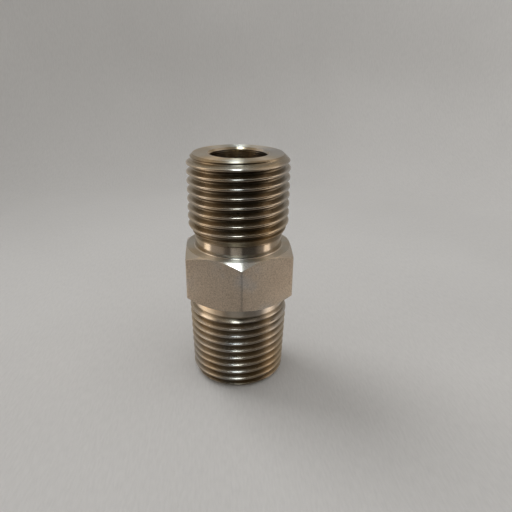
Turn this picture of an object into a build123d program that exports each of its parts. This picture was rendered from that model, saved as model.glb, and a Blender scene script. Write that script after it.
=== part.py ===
from build123d import *
import os
from math import ceil, cos, degrees, atan, radians, tan

# A hex nipple turned from one length of hexagon bar: 1/2 in parallel pipe thread with a relief
# groove at the top, 1/2 in taper pipe thread at the bottom, through bore.
# Millimetres. Origin at the centre of the bottom face, +Z along the bore towards the parallel thread.
# Two flats of the hexagon face +X and -X, so its corners point along +Y and -Y.

# Overall lengths
taper_end_length = 19.5
hex_height = 10.8
parallel_end_length = 19.2
hex_base = taper_end_length
hex_top = hex_base + hex_height
overall_length = hex_top + parallel_end_length

# Hexagon, 22 mm across the flats, with the corners of drawn bar and a turned chamfer
across_flats = 22.0
corner_radius = 0.5
face_circle_radius = 10.95
hex_chamfer_angle = 33

# Both threads: 14 to the inch, 55 degree form
pitch = 25.4 / 14
flank_angle = 27.5
thread_depth = 0.640327 * pitch
sharp_height = 0.960491 * pitch
crest_to_apex = sharp_height / 6
major_radius = 20.955 / 2
taper = 1 / 32
gauge_length = 9.8
small_end_radius = major_radius - gauge_length * taper

# Turned ends
lead_chamfer_radius = 9.1
bottom_chamfer_radius = 9.05
relief_radius = 9.15
relief_top = 32.95
relief_runout_angle = 30
relief_fillet = 0.35
neck_radius = 9.9
neck_base = 17.35
neck_fillet = 0.3

# Bore
bore_radius = 5.75
bore_chamfer = 0.45

# How closely an edge has to match a size or a height to be picked by it
match = 1e-4

# Height of a thread crest on the -Y side, for each thread
parallel_crest = 35.38
taper_crest = 2.32

# Thread cutting: how far the cutter stands out of the blank, where the first groove starts,
# and how fast the last groove of the tapered end runs out
flank_overrun = 0.05
cutter_reach = 1.9
parallel_start = 31.0
taper_start = -2.0
full_taper_turns = 10
fade_per_turn = 1.3


def blank_radius(z):
    """Outside radius of the tapered end before threading."""
    return small_end_radius + taper * z


def bar_circle_radius(z):
    """Radius of the turned chamfer cone at height z above or below the hexagon's faces."""
    return face_circle_radius + z / tan(radians(hex_chamfer_angle))


def groove_profile(root_radius):
    """One thread groove in the radial half plane, with its root at x = root_radius, z = 0."""
    root_half = crest_to_apex * tan(radians(flank_angle))
    flank_end = thread_depth + flank_overrun
    mouth_half = root_half + flank_end * tan(radians(flank_angle))
    return [
        (root_radius, -root_half),
        (root_radius + flank_end, -mouth_half),
        (root_radius + cutter_reach, -mouth_half),
        (root_radius + cutter_reach, mouth_half),
        (root_radius + flank_end, mouth_half),
        (root_radius, root_half),
    ]


def groove_start(crest, lowest):
    """Height of the groove on the +X side, for a right-hand thread: the first above lowest."""
    height = crest - pitch / 4
    return height - pitch * int((height - lowest) // pitch)


def parallel_groove():
    """Height on the +X side, root radius and cone angle at the start of each turn of groove."""
    start = groove_start(parallel_crest, parallel_start)
    count = ceil((overall_length - start) / pitch)
    heights = [start + turn * pitch for turn in range(count)]
    return heights, [major_radius - thread_depth] * count, [0] * count


def taper_groove():
    """As parallel_groove, for the tapered end. The last turn runs out of the metal."""
    start = groove_start(taper_crest, taper_start)
    heights = [start + turn * pitch for turn in range(full_taper_turns + 1)]
    roots = [blank_radius(z) - thread_depth for z in heights]
    cones = [degrees(atan(taper))] * full_taper_turns + [degrees(atan(fade_per_turn / pitch))]
    return heights, roots, cones


def circles(part, radius, height=None):
    """Circular edges of the part with that radius, at that height if one is given."""
    found = part.edges().filter_by(GeomType.CIRCLE).filter_by(lambda e: abs(e.radius - radius) < match)
    if height is None:
        return found
    return found.filter_by(lambda e: abs(e.center().Z - height) < match)


def outer_radius_points():
    """Turned outline of the two ends, from the bottom face to the top face."""
    runout = (major_radius - relief_radius) / tan(radians(relief_runout_angle))
    bottom_chamfer = (blank_radius(0) - bottom_chamfer_radius) / (1 - taper)
    neck_step = blank_radius(neck_base) - neck_radius
    return [
        (0, 0),
        (bottom_chamfer_radius, 0),
        (blank_radius(bottom_chamfer), bottom_chamfer),
        (blank_radius(neck_base - neck_step), neck_base - neck_step),
        (neck_radius, neck_base),
        (neck_radius, hex_base),
        (face_circle_radius, hex_base),
        (face_circle_radius, hex_top),
        (relief_radius, hex_top),
        (relief_radius, relief_top),
        (major_radius, relief_top + runout),
        (major_radius, overall_length - (major_radius - lead_chamfer_radius)),
        (lead_chamfer_radius, overall_length),
        (0, overall_length),
    ]


with BuildPart() as nipple_body:
    # Hexagon with rounded bar corners, turned back to a cone at both faces
    with BuildSketch(Plane.XY.offset(hex_base)):
        RegularPolygon(across_flats / 2, 6, major_radius=False, rotation=30)
    extrude(amount=hex_height)
    fillet(nipple_body.edges().filter_by(Axis.Z), corner_radius)
    with BuildSketch(Plane.XZ):
        with BuildLine():
            Polyline(
                (0, hex_base),
                (face_circle_radius, hex_base),
                (bar_circle_radius(hex_height / 2), hex_base + hex_height / 2),
                (face_circle_radius, hex_top),
                (0, hex_top),
                close=True,
            )
        make_face()
    revolve(axis=Axis.Z, mode=Mode.INTERSECT)

    # Turned ends
    with BuildSketch(Plane.XZ):
        with BuildLine():
            Polyline(outer_radius_points(), close=True)
        make_face()
    revolve(axis=Axis.Z)

    # Root fillets where the necks meet the hexagon's faces
    fillet(circles(nipple_body, relief_radius, hex_top), relief_fillet)
    fillet(circles(nipple_body, neck_radius, hex_base), neck_fillet)

    # Thread grooves, one turn at a time. Each turn goes on from the end section of the turn below.
    for heights, roots, cones in (parallel_groove(), taper_groove()):
        with BuildSketch(Plane.XZ, mode=Mode.PRIVATE) as section:
            with BuildLine():
                Polyline([(x, heights[0] + z) for x, z in groove_profile(roots[0])], close=True)
            make_face()
        profile = section.sketch
        for height, root, cone in zip(heights, roots, cones):
            with BuildLine(mode=Mode.PRIVATE) as path:
                Helix(pitch / cos(radians(cone)), pitch, root, (0, 0, height), cone_angle=cone)
            turn = sweep(profile, path.line, is_frenet=True, mode=Mode.PRIVATE)
            profile = turn.faces().filter_by(GeomType.PLANE).sort_by(Axis.Z)[-1]
            add(turn, mode=Mode.SUBTRACT)

    # Through bore, chamfered at both mouths
    with BuildSketch(Plane.XY):
        Circle(bore_radius)
    extrude(amount=overall_length, mode=Mode.SUBTRACT)
    chamfer(circles(nipple_body, bore_radius), bore_chamfer)

nipple_body.part.label = "nipple_body"
os.makedirs("parts", exist_ok=True)
export_step(nipple_body.part, "parts/nipple_body.step")
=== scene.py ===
from math import cos, pi, radians, sin, tan

import bpy
import numpy as np
from mathutils import Matrix, Vector


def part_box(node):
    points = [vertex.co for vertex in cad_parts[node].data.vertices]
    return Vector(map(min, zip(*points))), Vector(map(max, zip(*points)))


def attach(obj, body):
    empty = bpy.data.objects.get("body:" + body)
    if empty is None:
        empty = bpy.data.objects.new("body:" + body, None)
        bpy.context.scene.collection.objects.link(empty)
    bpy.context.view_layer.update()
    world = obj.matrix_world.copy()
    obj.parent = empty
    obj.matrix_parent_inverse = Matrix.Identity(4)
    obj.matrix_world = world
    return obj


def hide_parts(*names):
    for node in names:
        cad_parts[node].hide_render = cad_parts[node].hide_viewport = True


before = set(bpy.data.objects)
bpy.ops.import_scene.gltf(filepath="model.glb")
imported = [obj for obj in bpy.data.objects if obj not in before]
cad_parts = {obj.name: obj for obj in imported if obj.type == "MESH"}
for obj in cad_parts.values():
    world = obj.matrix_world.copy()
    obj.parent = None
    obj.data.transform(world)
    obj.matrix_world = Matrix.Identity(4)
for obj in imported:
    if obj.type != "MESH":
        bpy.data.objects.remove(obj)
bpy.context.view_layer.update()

# ---------------------------------------------------------------- dimensions, in millimetres
MM = 0.001
TURN = 2 * pi
node_low, node_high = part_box("nipple_body")
HEIGHT = (node_high.z - node_low.z) / MM
ACROSS_FLATS = (node_high.x - node_low.x) / MM

# Hexagon
HEX_BASE, HEX_TOP = 19.5, 30.3
CORNER_RADIUS = 0.5
FACE_CIRCLE = 10.95
HEX_CHAMFER = radians(33)

# Thread form, 55 degrees and 14 turns to the inch, parallel above and taper below
PITCH = 25.4 / 14
FLANK = radians(27.5)
DEPTH = 0.640327 * PITCH
ROUNDING = 0.137329 * PITCH
MAJOR = 20.955 / 2
TAPER = 1 / 32
SMALL_END = MAJOR - 9.8 * TAPER
PARALLEL_CREST, TAPER_CREST = 35.38, 2.32
FADE_START, FADE_PER_TURN = 16.381, 1.3
RUNOUT_ANGLE = radians(30)

# Ends, necks and bore
LEAD_RADIUS, BOTTOM_RADIUS = 9.1, 9.05
RELIEF_RADIUS, RELIEF_TOP, RELIEF_FILLET = 9.15, 32.95, 0.35
NECK_RADIUS, NECK_BASE, NECK_FILLET = 9.9, 17.35, 0.3
BORE_RADIUS, BORE_CHAMFER = 5.75, 0.45

# Roundings of the turned edges
END_EDGE, MOUTH_EDGE, BORE_EDGE = 0.12, 0.1, 0.08
FACE_EDGE, FLAT_EDGE = 0.05, 0.07
CREASE = 0.05
LOWER_EDGES, UPPER_EDGES = (0.1, 0.08, 0.15), (0.4, 0.2, 0.1)
OUTLINE_STEPS = 6

# Tool marks: slow ripple, chatter at the taper run-out and rings in the top of the bore
RIPPLE = 0.004
CHATTER_HEIGHT, CHATTER_PITCH, CHATTER_BEARING = 0.006, 0.21, 1.72 * pi
CHATTER_FROM, CHATTER_TO = 16.1, 17.5
RING_PITCH, RING_DEPTH, RING_TURNS, RING_STEPS = 0.45, 0.03, 6, 4

# Heights where the thread rows change spacing, and radii of the extra rings on the end faces
TAPER_ROWS = (1.9, 15.2, 17.62)
PARALLEL_ROWS = (RELIEF_TOP - 0.3, 35.6, 46.6)
FACE_RINGS = (7.1, 8.0)


# ---------------------------------------------------------------- outline helpers
def rounded(points, radii, steps):
    """An outline with its corners rounded. Each point is (radius, height), numbers or arrays."""
    shape = np.broadcast_shapes(*(np.shape(value) for point in points for value in point))
    points = [np.array([np.broadcast_to(value, shape) for value in point], float) for point in points]
    out = [points[0]]
    for before, here, after, radius, count in zip(points, points[1:], points[2:], radii, steps):
        back = (before - here) / np.linalg.norm(before - here, axis=0)
        on = (after - here) / np.linalg.norm(after - here, axis=0)
        half = np.arccos(np.clip((back * on).sum(0), -1, 1)) / 2
        middle = (back + on) / np.linalg.norm(back + on, axis=0)
        centre = here + middle * radius / np.sin(half)
        reach = radius / np.tan(half)
        start, end = here + back * reach - centre, here + on * reach - centre
        sweep = pi - 2 * half
        for share in np.linspace(0, 1, count + 1):
            arc = np.sin((1 - share) * sweep) * start + np.sin(share * sweep) * end
            out.append(centre + arc / np.sin(sweep))
    out.append(points[-1])
    return out


def outline(points, radii):
    """Radius of a rounded outline as a function of height."""
    path = rounded(points, radii, [OUTLINE_STEPS] * len(radii))
    radius, height = np.array(path).T
    return lambda z: np.interp(z, height, radius)


def lower_min(a, b, reach):
    """The smaller of a and b, with the crease between them rounded over about that reach."""
    h = np.clip(0.5 + (b - a) / (2 * reach), 0, 1)
    return b + (a - b) * h - reach * h * (1 - h)


# ---------------------------------------------------------------- columns round the axis
def column_angles():
    """Angles of the mesh's columns, close together at the hexagon's six corners."""
    from_corner = [0.57, 1.14, 2.0] + [3.6 + 2.2 * i for i in range(13)]
    sector = [-a for a in from_corner[:-1]][::-1] + [0.0] + from_corner
    return np.radians(sorted((30 + 60 * k + a) % 360 for k in range(6) for a in sector))


PHI = column_angles()
COLUMNS = len(PHI)
DIRECTION = np.stack([np.cos(PHI), np.sin(PHI)])


def hexagon_radius():
    """Distance from the axis to the hexagon's side on each column."""
    off = np.radians(np.abs((np.degrees(PHI) % 60) - 30))
    flat = ACROSS_FLATS / 2 / np.cos(radians(30) - off)
    centre = (ACROSS_FLATS / 2 - CORNER_RADIUS) / cos(radians(30))
    under = np.clip(CORNER_RADIUS**2 - (centre * np.sin(off)) ** 2, 0, None)
    arc = centre * np.cos(off) + np.sqrt(under)
    return np.where(centre * np.sin(off) <= CORNER_RADIUS * sin(radians(30)) + 1e-6, arc, flat)


# ---------------------------------------------------------------- thread form
def groove_height(u):
    """Height above the root of a groove's wall, at axial distance u from its middle."""
    u = np.abs(u)
    turn_over = ROUNDING * cos(FLANK)
    arc = ROUNDING - np.sqrt(np.clip(ROUNDING**2 - u**2, 0, None))
    rise = ROUNDING * (1 - sin(FLANK))
    return np.where(u <= turn_over, arc, rise + (u - turn_over) / tan(FLANK))


def crest_drop(u):
    """Depth below the crest of its rounding, at axial distance u from it."""
    u = np.minimum(np.abs(u), ROUNDING * cos(FLANK))
    return ROUNDING - np.sqrt(ROUNDING**2 - u**2)


def ripple(phi, z):
    """A few micrometres of tool chatter and handling wear, the same each run."""
    rng = np.random.default_rng(7)
    total = 0
    for around in (2, 3, 5, 7, 11, 17, 23, 31):
        along, phase = rng.uniform(-2.5, 2.5), rng.uniform(0, TURN)
        total = total + np.sin(around * phi + along * z + phase) / (2 + around * 0.2)
    return RIPPLE * total


def threaded_radius(phi, z, crest, blank, limit, fade_from=None):
    """Radius of a threaded end: the thread form inside the turned outline."""
    crest_here = crest + PITCH * (phi / TURN + 0.25)
    u = (z - crest_here + PITCH / 2) % PITCH - PITCH / 2
    grooves = []
    for side in (-1, 1):
        off = u - side * PITCH / 2
        lift = 0.0
        if fade_from is not None:
            lift = FADE_PER_TURN * np.clip((z - off - fade_from) / PITCH, 0, None)
        grooves.append(groove_height(off) + lift - DEPTH)
    wall = np.minimum(grooves[0], grooves[1])
    full = np.minimum(wall, -crest_drop(u))
    share = 0.0
    if fade_from is not None:
        share = np.clip((z - fade_from) / PITCH + 0.5, 0, 1)
    form = blank(z) + full * (1 - share) + np.minimum(wall, 0) * share
    return lower_min(form, limit(z), CREASE) + ripple(phi, z)


def blank_taper(z):
    return SMALL_END + TAPER * z


def blank_parallel(z):
    return MAJOR + 0 * z


bottom_rise = (blank_taper(0) - BOTTOM_RADIUS) / (1 - TAPER)
neck_step = blank_taper(NECK_BASE) - NECK_RADIUS
lower_limit = outline(
    [
        (BOTTOM_RADIUS, 0),
        (blank_taper(bottom_rise), bottom_rise),
        (blank_taper(NECK_BASE - neck_step), NECK_BASE - neck_step),
        (NECK_RADIUS, NECK_BASE),
        (NECK_RADIUS, NECK_BASE + 1),
    ],
    LOWER_EDGES,
)
runout = (MAJOR - RELIEF_RADIUS) / tan(RUNOUT_ANGLE)
upper_limit = outline(
    [
        (RELIEF_RADIUS, RELIEF_TOP - 1),
        (RELIEF_RADIUS, RELIEF_TOP),
        (MAJOR, RELIEF_TOP + runout),
        (MAJOR, HEIGHT - (MAJOR - LEAD_RADIUS)),
        (LEAD_RADIUS, HEIGHT),
    ],
    UPPER_EDGES,
)


def chatter(phi, z):
    """Fine tool chatter where the taper thread runs out, strongest on one side."""
    band = np.clip((z - CHATTER_FROM) / 0.3, 0, 1) * np.clip((CHATTER_TO - z) / 0.2, 0, 1)
    side = 0.35 + 0.65 * np.cos((phi - CHATTER_BEARING) / 2) ** 8
    wave = np.sin(TURN * z / CHATTER_PITCH + 2.5 * np.sin(9 * phi) + 14 * phi)
    return CHATTER_HEIGHT * band * side * wave


def lower_radius(phi, z):
    plain = threaded_radius(phi, z, TAPER_CREST, blank_taper, lower_limit, FADE_START)
    return plain + chatter(phi, z)


def upper_radius(phi, z):
    return threaded_radius(phi, z, PARALLEL_CREST, blank_parallel, upper_limit)


# ---------------------------------------------------------------- mesh building
class Shell:
    """Rings and bands of a closed surface round the axis, in millimetres."""

    GAP = 1e-4

    def __init__(self):
        self.points, self.faces, self.finish, self.count = [], [], [], 0

    def ring(self, radius, height):
        radius = np.broadcast_to(radius, PHI.shape)
        height = np.broadcast_to(height, PHI.shape)
        self.points.append(np.stack([radius * DIRECTION[0], radius * DIRECTION[1], height], 1))
        self.count += COLUMNS
        return np.arange(self.count - COLUMNS, self.count)

    def bridge(self, low, high, finish):
        quads = np.stack([low, np.roll(low, -1), np.roll(high, -1), high], 1)
        self.faces += quads.tolist()
        self.finish += [finish] * COLUMNS

    def path(self, start, rings, finish):
        """Bands from the ring start through each new (radius, height) ring; returns the last."""
        for radius, height in rings:
            following = self.ring(radius, height)
            self.bridge(start, following, finish)
            start = following
        return start

    def helix(self, low, z_low, z_high, crest, radius_at, offsets):
        """Rows that follow the thread from the ring low at z_low to a new ring at z_high."""
        high = self.ring(radius_at(PHI, z_high), z_high)
        count = len(offsets)
        first = int((z_low - crest) // PITCH) - 2
        turns = int((z_high - z_low) / PITCH) + 6
        base = np.concatenate([crest + PITCH * (first + t) + offsets for t in range(turns)])
        index = np.zeros((len(base), COLUMNS + 1), int)
        for k, height in enumerate(base):
            z = height + PITCH * (PHI / TURN + 0.25)
            inside = (z > z_low + self.GAP) & (z < z_high - self.GAP)
            row = np.where(z <= z_low + self.GAP, low, high)
            if inside.any():
                radius = radius_at(PHI[inside], z[inside])
                across = radius * DIRECTION[:, inside]
                spot = np.stack([across[0], across[1], z[inside]], 1)
                row[inside] = self.count + np.arange(len(spot))
                self.points.append(spot)
                self.count += len(spot)
            index[k, :-1] = row
        index[:-count, -1] = index[count:, 0]
        index[-count:, -1] = high[0]
        for below, above in zip(index, index[1:]):
            for quad in zip(below[:-1], below[1:], above[1:], above[:-1]):
                corners = list(dict.fromkeys(int(c) for c in quad))
                if len(corners) > 2:
                    self.faces.append(corners)
                    self.finish.append(THREAD)
        return high


def row_offsets(crest_rows, flank_rows, root_rows):
    """Axial places of a thread's rows within one pitch, from crest to crest."""
    lean = pi / 2 - FLANK
    crest = ROUNDING * np.sin(np.linspace(-lean, lean, crest_rows))
    root = PITCH / 2 + ROUNDING * np.sin(np.linspace(-lean, lean, root_rows))
    down = np.linspace(crest[-1], root[0], flank_rows + 2)[1:-1]
    up = np.linspace(root[-1], crest[0] + PITCH, flank_rows + 2)[1:-1]
    return np.concatenate([crest, down, root, up])


TURNED, FACE, FLAT, BORE, CONE, THREAD = range(6)
shell = Shell()
coarse, dense = row_offsets(7, 2, 7), row_offsets(8, 8, 8)
mouth = BORE_RADIUS + BORE_CHAMFER

# Bottom face, outwards from the bore's mouth
bottom_path = rounded(
    [
        (BORE_RADIUS, BORE_CHAMFER + 2),
        (BORE_RADIUS, BORE_CHAMFER),
        (mouth, 0),
        (BOTTOM_RADIUS, 0),
        (BOTTOM_RADIUS + 1, 1),
    ],
    [BORE_EDGE, MOUTH_EDGE, END_EDGE],
    [2, 2, 3],
)
mouth_ring = shell.ring(*bottom_path[1])
ring = shell.path(mouth_ring, bottom_path[2:7], BORE)
ring = shell.path(ring, [(radius, 0) for radius in FACE_RINGS], FACE)
ring = shell.path(ring, bottom_path[7:-2], FACE)
z_start = float(bottom_path[-2][1])
first_row = shell.ring(lower_radius(PHI, z_start), z_start)
shell.bridge(ring, first_row, FACE)

# Taper thread
ring, z_from = first_row, z_start
for z_to, rows in zip(TAPER_ROWS, (dense, coarse, dense)):
    ring = shell.helix(ring, z_from, z_to, TAPER_CREST, lower_radius, rows)
    z_from = z_to

# Neck, hexagon and relief groove
side = hexagon_radius()
drop = (side - FACE_CIRCLE) * tan(HEX_CHAMFER)
middle_path = rounded(
    [
        (NECK_RADIUS, z_from),
        (NECK_RADIUS, HEX_BASE),
        (FACE_CIRCLE, HEX_BASE),
        (side, HEX_BASE + drop),
        (side, HEX_TOP - drop),
        (FACE_CIRCLE, HEX_TOP),
        (RELIEF_RADIUS, HEX_TOP),
        (RELIEF_RADIUS, PARALLEL_ROWS[0]),
    ],
    [NECK_FILLET, FACE_EDGE, FLAT_EDGE, FLAT_EDGE, FACE_EDGE, RELIEF_FILLET],
    [5, 2, 2, 2, 2, 6],
)
first = 1
for last, finish in ((7, TURNED), (10, FACE), (12, CONE), (15, FLAT), (17, CONE), (21, FACE), (27, TURNED)):
    ring = shell.path(ring, middle_path[first:last], finish)
    first = last

# Parallel thread and the top face
top_path = rounded(
    [
        (LEAD_RADIUS + 1, HEIGHT - 1),
        (LEAD_RADIUS, HEIGHT),
        (mouth, HEIGHT),
        (BORE_RADIUS, HEIGHT - BORE_CHAMFER),
        (BORE_RADIUS, HEIGHT - BORE_CHAMFER - 2),
    ],
    [END_EDGE, MOUTH_EDGE, BORE_EDGE],
    [3, 2, 2],
)
z_end = float(top_path[1][1])
z_from = PARALLEL_ROWS[0]
for z_to, rows in zip((*PARALLEL_ROWS[1:], z_end), (dense, coarse, dense)):
    ring = shell.helix(ring, z_from, z_to, PARALLEL_CREST, upper_radius, rows)
    z_from = z_to
ring = shell.path(ring, top_path[2:5], FACE)
ring = shell.path(ring, [(radius, HEIGHT) for radius in FACE_RINGS[::-1]], FACE)
ring = shell.path(ring, top_path[5:8], FACE)
ring = shell.path(ring, top_path[8:11], BORE)

# Bore, with tool rings near its top mouth
z_bore = float(top_path[10][1])
for k in range(1, RING_TURNS * RING_STEPS + 1):
    cut = RING_DEPTH * (1 - cos(TURN * k / RING_STEPS)) / 2
    ring = shell.path(ring, [(BORE_RADIUS + cut, z_bore - RING_PITCH * k / RING_STEPS)], BORE)
plain = np.linspace(z_bore - RING_PITCH * RING_TURNS, float(bottom_path[1][1]), 9)
ring = shell.path(ring, [(BORE_RADIUS, z) for z in plain[1:-1]], BORE)
shell.bridge(ring, mouth_ring, BORE)

mesh = bpy.data.meshes.new("nipple")
mesh.from_pydata((np.concatenate(shell.points) * MM).tolist(), [], shell.faces)
mesh.polygons.foreach_set("material_index", shell.finish)
mesh.update()


def smooth_by_area(mesh, corners):
    """Vertex normals weighted by face area, so that flat faces stay flat beside their rounded edges."""
    area = np.zeros(len(mesh.polygons))
    mesh.polygons.foreach_get("area", area)
    facing = np.zeros(len(mesh.polygons) * 3)
    mesh.polygons.foreach_get("normal", facing)
    facing = facing.reshape(-1, 3) * area[:, None]
    loop_vertex = np.zeros(len(mesh.loops), int)
    mesh.loops.foreach_get("vertex_index", loop_vertex)
    normals = np.zeros((len(mesh.vertices), 3))
    np.add.at(normals, loop_vertex, np.repeat(facing, corners, axis=0))
    normals /= np.linalg.norm(normals, axis=1)[:, None]
    mesh.shade_smooth()
    mesh.normals_split_custom_set_from_vertices(normals.tolist())


smooth_by_area(mesh, [len(face) for face in shell.faces])
nipple = bpy.data.objects.new("nipple_detail", mesh)
bpy.context.scene.collection.objects.link(nipple)
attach(nipple, "root")
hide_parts("nipple_body")


# ---------------------------------------------------------------- materials
class Nodes:
    """A short way to write a node tree."""

    def __init__(self, tree):
        self.tree = tree
        tree.nodes.clear()

    def add(self, kind, inputs=None, **settings):
        node = self.tree.nodes.new(kind)
        for name, value in settings.items():
            setattr(node, name, value)
        for name, value in (inputs or {}).items():
            socket = node.inputs[name]
            if isinstance(value, bpy.types.NodeSocket):
                self.tree.links.new(value, socket)
            else:
                socket.default_value = value
        return node

    def math(self, operation, a, b=0.0):
        return self.add("ShaderNodeMath", {0: a, 1: b}, operation=operation).outputs[0]

    def noise(self, vector, scale, detail=3.0, roughness=0.5):
        node = self.add("ShaderNodeTexNoise",
                        {"Vector": vector, "Scale": scale, "Detail": detail, "Roughness": roughness})
        return node.outputs["Fac"]

    def ramp(self, value, stops):
        node = self.add("ShaderNodeValToRGB", {"Fac": value})
        elements = node.color_ramp.elements
        while len(elements) < len(stops):
            elements.new(0.5)
        for element, (place, colour) in zip(elements, stops):
            element.position = place
            element.color = (*colour, 1) if len(colour) == 3 else colour
        return node.outputs["Color"]

    def vector(self, operation, a, b):
        return self.add("ShaderNodeVectorMath", {0: a, 1: b}, operation=operation).outputs[0]

    def scale(self, a, factor):
        return self.add("ShaderNodeVectorMath", {0: a, "Scale": factor}, operation="SCALE").outputs[0]

    def cylinder(self):
        """The object coordinates, the height and the distance from the axis."""
        place = self.add("ShaderNodeTexCoord").outputs["Object"]
        x, y, z = self.add("ShaderNodeSeparateXYZ", {0: place}).outputs
        flat = self.add("ShaderNodeCombineXYZ", {0: x, 1: y}).outputs[0]
        return place, z, self.add("ShaderNodeVectorMath", {0: flat}, operation="LENGTH").outputs["Value"]

    def bearing(self, place):
        """Share of a turn round the axis: 0.5 is the camera side, more is to its right."""
        x, y, _ = self.add("ShaderNodeSeparateXYZ", {0: place}).outputs
        angle = self.math("ARCTAN2", x, self.math("MULTIPLY", y, -1.0))
        return self.math("ADD", self.math("DIVIDE", angle, TURN), 0.5)

    def bump(self, height, distance, strength=1.0, normal=None):
        inputs = {"Strength": strength, "Distance": distance, "Height": height}
        if normal is not None:
            inputs["Normal"] = normal
        return self.add("ShaderNodeBump", inputs).outputs[0]

    def blend(self, low, high, value, start, end):
        """low below the start value, high above the end value."""
        share = self.add("ShaderNodeMapRange", {"Value": value, "From Min": start, "From Max": end},
                         interpolation_type="SMOOTHSTEP").outputs["Result"]
        mix = self.add("ShaderNodeMix", {0: share}, data_type="RGBA")
        self.tree.links.new(low, mix.inputs[6])
        self.tree.links.new(high, mix.inputs[7])
        return mix.outputs[2]

    def multiply(self, a, b):
        """Two colours multiplied."""
        node = self.add("ShaderNodeMix", data_type="RGBA", blend_type="MULTIPLY")
        node.inputs["Factor"].default_value = 1.0
        self.tree.links.new(a, node.inputs[6])
        self.tree.links.new(b, node.inputs[7])
        return node.outputs[2]

    def shift(self, value, low, high):
        node = self.add("ShaderNodeMapRange", {"Value": value, "From Min": 0.3, "From Max": 0.7,
                                               "To Min": low, "To Max": high})
        return node.outputs["Result"]


# Noise scales, per metre
PATCH, HUE, DRIFT, RADIAL_DRIFT, STREAK, SPECK, FINE_SPECK = 260, 95, 160, 60, 9000, 2600, 4200
# The bottom of the thread: depths in millimetres where its painted shade and extra roughness start and are
# full, the painted shade's tint and the extra roughness
HOLLOW_FROM, HOLLOW_TO, HOLLOW_SHADE_TINT, HOLLOW_ROUGHNESS = 0.07, 0.37, (1.0, 0.94, 0.83), 0.16
STEEL, GOLD, BLUED = (0.62, 0.57, 0.505), (0.62, 0.52, 0.385), (0.565, 0.565, 0.57)


def metal(name, plain, gold, roughness, spread, streaks=0.3e-6, radial=False, grain=0.0, rings=0.0,
          mottle=0.05, groove=1.0, metallic=1.0):
    """Plated steel with turned streaks, a patchy film and small marks.

    spread is the anisotropy. streaks, grain and rings are bump heights in metres. mottle is how far
    the specks darken it. groove below 1 paints shade into the bottom of the thread, darker and warmer, and
    roughens it.
    """
    material = bpy.data.materials.new(name)
    material.use_nodes = True
    n = Nodes(material.node_tree)
    place, z, distance = n.cylinder()

    patch = n.noise(place, PATCH, 4, 0.6)
    broad = n.math("MULTIPLY", n.noise(place, HUE, 2, 0.5), 0.75)
    hue = n.math("ADD", broad, n.math("MULTIPLY", patch, 0.25))
    film = n.ramp(hue, [(0.34, BLUED), (0.47, plain), (0.63, gold)])
    if radial:
        across = n.add("ShaderNodeCombineXYZ", {0: n.math("MULTIPLY", distance, STREAK)}).outputs[0]
        lines = n.vector("ADD", across, n.vector("MULTIPLY", place, (RADIAL_DRIFT,) * 3))
    else:
        lines = n.vector("MULTIPLY", place, (DRIFT, DRIFT, STREAK))
    streak = n.noise(lines, 1.0, 3, 0.6)
    speck = n.noise(place, FINE_SPECK if grain else SPECK, 3, 0.6)
    colour = n.multiply(film, n.ramp(speck, [(0.3, (1 - mottle,) * 3), (0.6, (1, 1, 1))]))
    patchy = n.shift(patch, roughness - 0.03, roughness + 0.05)
    rough = n.math("ADD", patchy, n.shift(streak, -0.03, 0.04))

    # Painted shade: the bottom of the thread is darkened and warmed in colour, and also made rougher
    if groove < 1:
        blank = n.math("ADD", n.math("MULTIPLY", z, TAPER), SMALL_END * MM)
        depth = n.math("SUBTRACT", n.math("MINIMUM", blank, MAJOR * MM), distance)
        reach = {"Value": depth, "From Min": HOLLOW_FROM * MM, "From Max": HOLLOW_TO * MM}
        hollow = n.add("ShaderNodeMapRange", reach).outputs["Result"]
        painted_groove_shade = tuple(groove * channel for channel in HOLLOW_SHADE_TINT)
        colour = n.multiply(colour, n.ramp(hollow, [(0.0, (1, 1, 1)), (1.0, painted_groove_shade)]))
        rough = n.math("ADD", rough, n.math("MULTIPLY", hollow, HOLLOW_ROUGHNESS))

    normal = n.bump(streak, streaks)
    if rings:
        wave = n.math("SINE", n.math("MULTIPLY", z, TURN / (RING_PITCH * MM)))
        normal = n.bump(wave, rings, normal=normal)
    if grain:
        normal = n.bump(speck, grain, normal=normal)
    tangent = n.add("ShaderNodeTangent", direction_type="RADIAL", axis="Z").outputs[0]
    shader = n.add("ShaderNodeBsdfPrincipled",
                   {"Base Color": colour, "Metallic": metallic, "Roughness": rough, "Normal": normal,
                    "Anisotropic": spread, "Anisotropic Rotation": 0.25, "Tangent": tangent})
    n.add("ShaderNodeOutputMaterial", {"Surface": shader.outputs[0]})
    return material


# In the order of TURNED, FACE, FLAT, BORE, CONE, THREAD
for finish in (
    metal("turned_neck", STEEL, GOLD, 0.16, 0.6, streaks=0.4e-6, mottle=0.1),
    metal("turned_face", (0.62, 0.59, 0.53), GOLD, 0.45, 0.98, streaks=0.4e-6, radial=True),
    metal("drawn_flat", (0.63, 0.558, 0.478), (0.605, 0.525, 0.44), 0.50, 0.0, streaks=0.0, grain=8e-6,
          mottle=0.44, metallic=0.72),
    # The bore's base colour is darker than the other finishes: painted shade for the inside of the bore
    metal("bore_with_painted_shade", (0.40, 0.33, 0.24), (0.62, 0.46, 0.27), 0.17, 0.85, streaks=0.4e-6, rings=4e-6),
    metal("turned_cone", STEEL, (0.62, 0.56, 0.47), 0.15, 0.6),
    # cut_thread: painted shade darkens the bottom of its thread, which is also rougher
    metal("cut_thread", STEEL, GOLD, 0.12, 0.6, groove=0.60, mottle=0.14),
):
    mesh.materials.append(finish)


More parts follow.
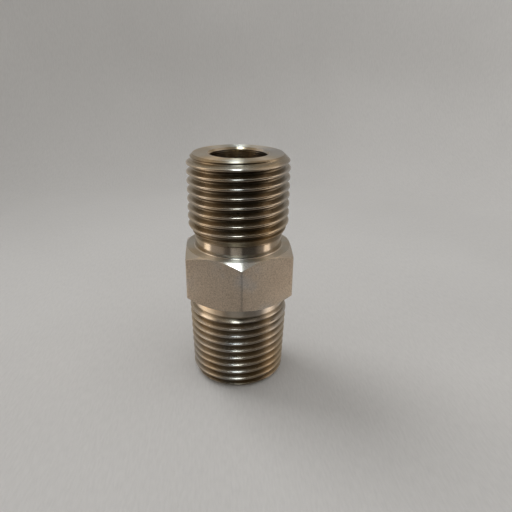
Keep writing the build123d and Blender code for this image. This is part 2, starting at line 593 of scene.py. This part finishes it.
# ---------------------------------------------------------------- floor and light
def turned_sheet(name, finish, profile, steps):
    """A sheet turned round the axis from (radius, height) points, and its empty material."""
    turn = np.linspace(0, TURN, steps, endpoint=False)
    points = [(r * cos(a) * MM, r * sin(a) * MM, z * MM) for r, z in profile for a in turn]
    faces = []
    for inner in range(0, steps * (len(profile) - 1), steps):
        outer = inner + steps
        for j in range(steps):
            after = (j + 1) % steps
            faces.append((outer + j, outer + after, inner + after, inner + j))
    shape = bpy.data.meshes.new(name)
    shape.from_pydata(points, [], faces)
    shape.shade_smooth()
    sheet = bpy.data.objects.new(name, shape)
    bpy.context.scene.collection.objects.link(sheet)
    material = bpy.data.materials.new(finish)
    material.use_nodes = True
    shape.materials.append(material)
    return sheet, Nodes(material.node_tree)


def sweep_floor():
    """A round pale floor that curves up into a wall all round."""
    reach, bend, top = 165, 70, 195
    profile = [(r, 0) for r in (0.001, 20, 40, 70, 100, 130, reach)]
    profile += [(reach + bend * sin(a), bend - bend * cos(a)) for a in np.linspace(0, pi / 2, 13)[1:]]
    profile.append((reach + bend, top))
    floor, n = turned_sheet("floor", "pale_cloth", profile, 96)
    place = n.add("ShaderNodeTexCoord").outputs["Object"]
    weave = n.noise(n.vector("MULTIPLY", place, (2200, 420, 420)), 1.0, 2)
    broad = n.ramp(n.noise(place, 14, 2), [(0.3, (0.76, 0.75, 0.735)), (0.7, (0.80, 0.79, 0.775))])
    colour = n.multiply(broad, n.ramp(weave, [(0.3, (0.95, 0.95, 0.95)), (0.65, (1, 1, 1))]))
    normal = n.bump(weave, 0.08 * MM, strength=0.8)
    shader = n.add("ShaderNodeBsdfPrincipled",
                   {"Base Color": colour, "Roughness": 0.9, "Specular IOR Level": 0.1, "Normal": normal})
    n.add("ShaderNodeOutputMaterial", {"Surface": shader.outputs[0]})


def surround(name, profile, shading):
    """A turned sheet that only shows in the metal, lit by its own emission."""
    sheet, n = turned_sheet(name, name, profile, 120)
    place, z, distance = n.cylinder()
    glow = n.add("ShaderNodeEmission", {"Color": shading(n, n.bearing(place), distance, z), "Strength": 1.0})
    n.add("ShaderNodeOutputMaterial", {"Surface": glow.outputs[0]})
    sheet.visible_camera = sheet.visible_diffuse = sheet.visible_shadow = False
    sheet.visible_transmission = sheet.visible_volume_scatter = False


WARM, PLAIN = (1.0, 0.84, 0.68), (1.0, 0.93, 0.84)


def sectors(levels):
    """Ramp stops from (bearing in degrees from the camera side, level, colour)."""
    return [((bearing + 180) / 360, tuple(level * c for c in colour)) for bearing, level, colour in levels]


def drum_light(n, bearing, distance, z):
    """The room as the necks and threads mirror it: bright strips low down at both sides, dark in front."""
    low = n.ramp(bearing, sectors([
        (-180, 0.30, PLAIN), (-130, 0.36, PLAIN), (-100, 0.40, WARM), (-92, 2.3, WARM), (-80, 2.3, WARM),
        (-74, 0.42, WARM), (-42, 0.32, WARM), (-35, 0.13, WARM), (-24, 0.10, WARM), (-18, 0.52, PLAIN),
        (2, 0.40, PLAIN), (8, 0.06, PLAIN), (38, 0.06, WARM), (50, 0.22, WARM), (62, 0.38, WARM),
        (67, 1.8, WARM), (79, 1.8, WARM), (86, 0.36, WARM), (130, 0.32, PLAIN), (180, 0.30, PLAIN),
    ]))
    middle = n.ramp(bearing, sectors([
        (-180, 0.42, PLAIN), (-130, 0.40, PLAIN), (-90, 0.26, WARM), (-60, 0.18, WARM), (-36, 0.05, WARM),
        (-10, 0.02, PLAIN), (35, 0.02, PLAIN), (55, 0.10, WARM), (90, 0.20, WARM), (135, 0.38, PLAIN),
        (180, 0.42, PLAIN),
    ]))
    high = n.ramp(bearing, sectors([
        (-180, 0.42, PLAIN), (-125, 0.44, PLAIN), (-95, 0.36, WARM), (-70, 0.20, WARM), (-45, 0.04, WARM),
        (-10, 0.012, PLAIN), (45, 0.012, PLAIN), (65, 0.15, WARM), (90, 0.38, WARM), (120, 0.38, PLAIN),
        (150, 0.32, PLAIN), (180, 0.40, PLAIN),
    ]))
    top = n.ramp(bearing, sectors([
        (-180, 0.42, PLAIN), (-125, 0.44, PLAIN), (-100, 0.60, WARM), (-92, 1.70, WARM), (-75, 1.30, WARM),
        (-61, 0.25, WARM), (-40, 0.05, PLAIN), (-10, 0.02, PLAIN), (40, 0.02, PLAIN), (56, 0.08, WARM),
        (66, 0.35, WARM), (74, 1.15, WARM), (90, 1.20, WARM), (100, 0.50, WARM), (130, 0.38, PLAIN),
        (180, 0.42, PLAIN),
    ]))
    light = n.blend(low, middle, z, 7 * MM, 12 * MM)
    light = n.blend(light, high, z, 24 * MM, 34 * MM)
    return n.blend(light, top, z, 42 * MM, 52 * MM)


def floor_light(n, bearing, distance, z):
    """The floor as the metal mirrors it, with a painted shadow that dims it close to the foot."""
    # Painted shade: each ring is darker on the camera side, where the camera shades the floor
    strips = n.ramp(bearing, sectors([
        (-180, 0.40, PLAIN), (-120, 0.45, WARM), (-104, 1.0, WARM), (-88, 1.5, WARM), (-66, 0.95, WARM),
        (-52, 0.50, WARM), (-42, 0.40, WARM), (-34, 0.22, WARM), (-23, 0.20, PLAIN), (-17, 0.26, PLAIN),
        (4, 0.22, PLAIN), (12, 0.13, PLAIN), (34, 0.16, WARM), (50, 0.26, WARM), (61, 0.90, WARM),
        (72, 1.4, WARM), (84, 0.95, WARM), (94, 0.50, WARM), (120, 0.42, PLAIN), (180, 0.40, PLAIN),
    ]))
    near = n.ramp(bearing, sectors([
        (-180, 0.42, PLAIN), (-110, 0.46, PLAIN), (-85, 0.52, WARM), (-50, 0.38, WARM), (-30, 0.33, PLAIN),
        (0, 0.32, PLAIN), (30, 0.27, PLAIN), (60, 0.36, WARM), (85, 0.44, WARM), (120, 0.44, PLAIN),
        (180, 0.42, PLAIN),
    ]))
    outer = n.ramp(bearing, sectors([
        (-180, 0.42, PLAIN), (-112, 0.46, PLAIN), (-98, 0.80, WARM), (-76, 0.80, WARM), (-60, 0.42, WARM),
        (-30, 0.20, PLAIN), (0, 0.16, PLAIN), (35, 0.12, PLAIN), (56, 0.34, WARM), (66, 1.60, WARM),
        (78, 1.30, WARM), (98, 0.42, PLAIN), (180, 0.42, PLAIN),
    ]))
    light = n.blend(near, strips, distance, 31 * MM, 37 * MM)
    light = n.blend(light, outer, distance, 46 * MM, 52 * MM)
    # Painted shadow: the mirrored floor dims towards the foot, where the part shades it
    reach = {"Value": distance, "From Min": 10 * MM, "From Max": 26 * MM, "To Min": 0.45, "To Max": 1.0}
    return n.scale(light, n.add("ShaderNodeMapRange", reach).outputs["Result"])


def area_light(name, place, size, power):
    """A round soft light aimed at the foot of the part, hidden from the camera and the metal."""
    light = bpy.data.lights.new(name, "AREA")
    light.shape = "DISK"
    light.size = size * MM
    light.energy = power
    lamp = bpy.data.objects.new(name, light)
    bpy.context.scene.collection.objects.link(lamp)
    lamp.location = Vector(place) * MM
    lamp.rotation_euler = (-Vector(place)).to_track_quat("-Z", "Y").to_euler()
    lamp.visible_camera = False
    lamp.visible_glossy = False


def room_light():
    """The room above the drum as the metal mirrors it, and a plain pale one for everything else."""
    world = bpy.data.worlds.new("studio")
    bpy.context.scene.world = world
    world.use_nodes = True
    world.cycles.sampling_method = "NONE"
    n = Nodes(world.node_tree)
    direction = n.add("ShaderNodeTexCoord").outputs["Generated"]
    x, y, _ = n.add("ShaderNodeSeparateXYZ", {0: direction}).outputs
    across = n.math("ADD", n.math("MULTIPLY", x, 0.5), 0.5)
    along = n.math("ADD", n.math("MULTIPLY", y, 0.5), 0.5)
    sides = n.ramp(across, [
        (0.04, (0.90, 0.78, 0.63)), (0.14, (0.72, 0.61, 0.48)), (0.25, (0.56, 0.48, 0.38)),
        (0.32, (0.48, 0.45, 0.39)), (0.38, (0.42, 0.42, 0.40)), (0.47, (0.50, 0.52, 0.52)),
        (0.58, (0.36, 0.37, 0.365)), (0.68, (0.38, 0.35, 0.30)), (0.75, (0.55, 0.47, 0.37)),
        (0.86, (0.74, 0.63, 0.50)), (0.96, (0.90, 0.79, 0.64)),
    ])
    front = n.ramp(along, [(0.12, (0.04, 0.04, 0.04)), (0.24, (1, 1, 1))])

    # A bright neutral window overhead
    band = n.ramp(across, [(0.38, (0, 0, 0)), (0.43, (1, 1, 1)), (0.49, (1, 1, 1)), (0.54, (0, 0, 0))])
    length = n.ramp(along, [(0.19, (0, 0, 0)), (0.27, (1, 1, 1)), (0.54, (1, 1, 1)), (0.60, (0, 0, 0))])
    window = n.math("MULTIPLY", n.math("MULTIPLY", band, length), 5.6)

    light = n.vector("ADD", n.vector("MULTIPLY", sides, front), n.scale((0.86, 1.0, 1.08), window))
    mirrored = n.add("ShaderNodeBackground", {"Color": light, "Strength": 1.0})
    seen = n.add("ShaderNodeBackground", {"Color": (1.0, 0.985, 0.965, 1), "Strength": 0.42})
    glossy = n.add("ShaderNodeLightPath").outputs["Is Glossy Ray"]
    choice = n.add("ShaderNodeMixShader", {0: glossy, 1: seen.outputs[0], 2: mirrored.outputs[0]})
    n.add("ShaderNodeOutputWorld", {"Surface": choice.outputs[0]})


sweep_floor()
surround("drum", [(70, 0.3), (70, 20), (70, 45), (70, 70), (70, 95)], drum_light)
surround("floor_glow", [(9.3, 0.1), (20, 0.2), (40, 0.2), (70, 0.3)], floor_light)
area_light("key", (-260, 220, 420), 320, 0.88)
area_light("fill", (240, -120, 420), 300, 0.08)
room_light()
bpy.context.scene.view_settings.view_transform = "Standard"

# ---------------------------------------------------------------- camera
CAMERA_PLACE = (-4.80, -93.81, 66.80)
TILT, HEADING, ROLL = 0.3989, 0.0917, 0.0172


def place_camera():
    """The camera that took the photo: tilt down, heading to the right and roll, in radians."""
    data = bpy.data.cameras.new("camera")
    data.sensor_width = 36
    data.lens = 33.08
    data.clip_start, data.clip_end = 0.005, 5
    camera = bpy.data.objects.new("camera", data)
    bpy.context.scene.collection.objects.link(camera)
    bpy.context.scene.camera = camera
    forward = Vector((sin(HEADING) * cos(TILT), cos(HEADING) * cos(TILT), -sin(TILT)))
    level = Vector((cos(HEADING), -sin(HEADING), 0))
    upright = level.cross(forward)
    right = level * cos(ROLL) + upright * sin(ROLL)
    up = upright * cos(ROLL) - level * sin(ROLL)
    turn = Matrix((right, up, -forward)).transposed()
    camera.matrix_world = Matrix.Translation(Vector(CAMERA_PLACE) * MM) @ turn.to_4x4()


place_camera()
